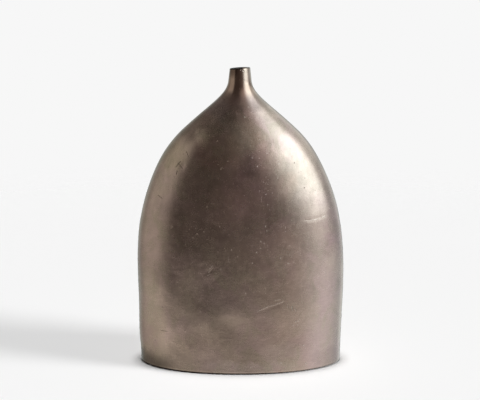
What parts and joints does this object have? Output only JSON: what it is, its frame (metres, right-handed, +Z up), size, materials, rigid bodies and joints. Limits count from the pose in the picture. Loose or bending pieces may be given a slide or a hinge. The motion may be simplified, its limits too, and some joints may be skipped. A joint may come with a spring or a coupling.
{
  "type": "vase",
  "caption": "Flat bottle vase in bronzed cast aluminium: oval foot, pointed-arch body and a short narrow neck, welded from two halves over a base plate on felt pads.",
  "frame": {"origin": "on the standing surface, in the middle of the oval foot, under the neck", "axes": "+Z up through the neck, -Y towards the broad front face, +X along the long axis of the foot to the viewer's right"},
  "size_m": [0.256, 0.126, 0.3686],
  "materials": {
    "bronzed_casting": "satin bronze-brown patina on cast aluminium, softly mottled, with small casting pits",
    "seam_filler": "filler metal ground flush and given the same satin bronze patina",
    "base_sheet": "matt rolled sheet, thinly patinated",
    "base_filler": "rippled bead, wire brushed",
    "felt": "dark pressed felt"
  },
  "bodies": {
    "root": {"front_shell": "bronzed_casting", "back_shell": "bronzed_casting", "seam_weld_left": "seam_filler", "seam_weld_right": "seam_filler", "base_plate": "base_sheet", "base_weld": "base_filler", "felt_pad_front_left": "felt", "felt_pad_front_right": "felt", "felt_pad_back_left": "felt", "felt_pad_back_right": "felt"}
  },
  "joints": []
}
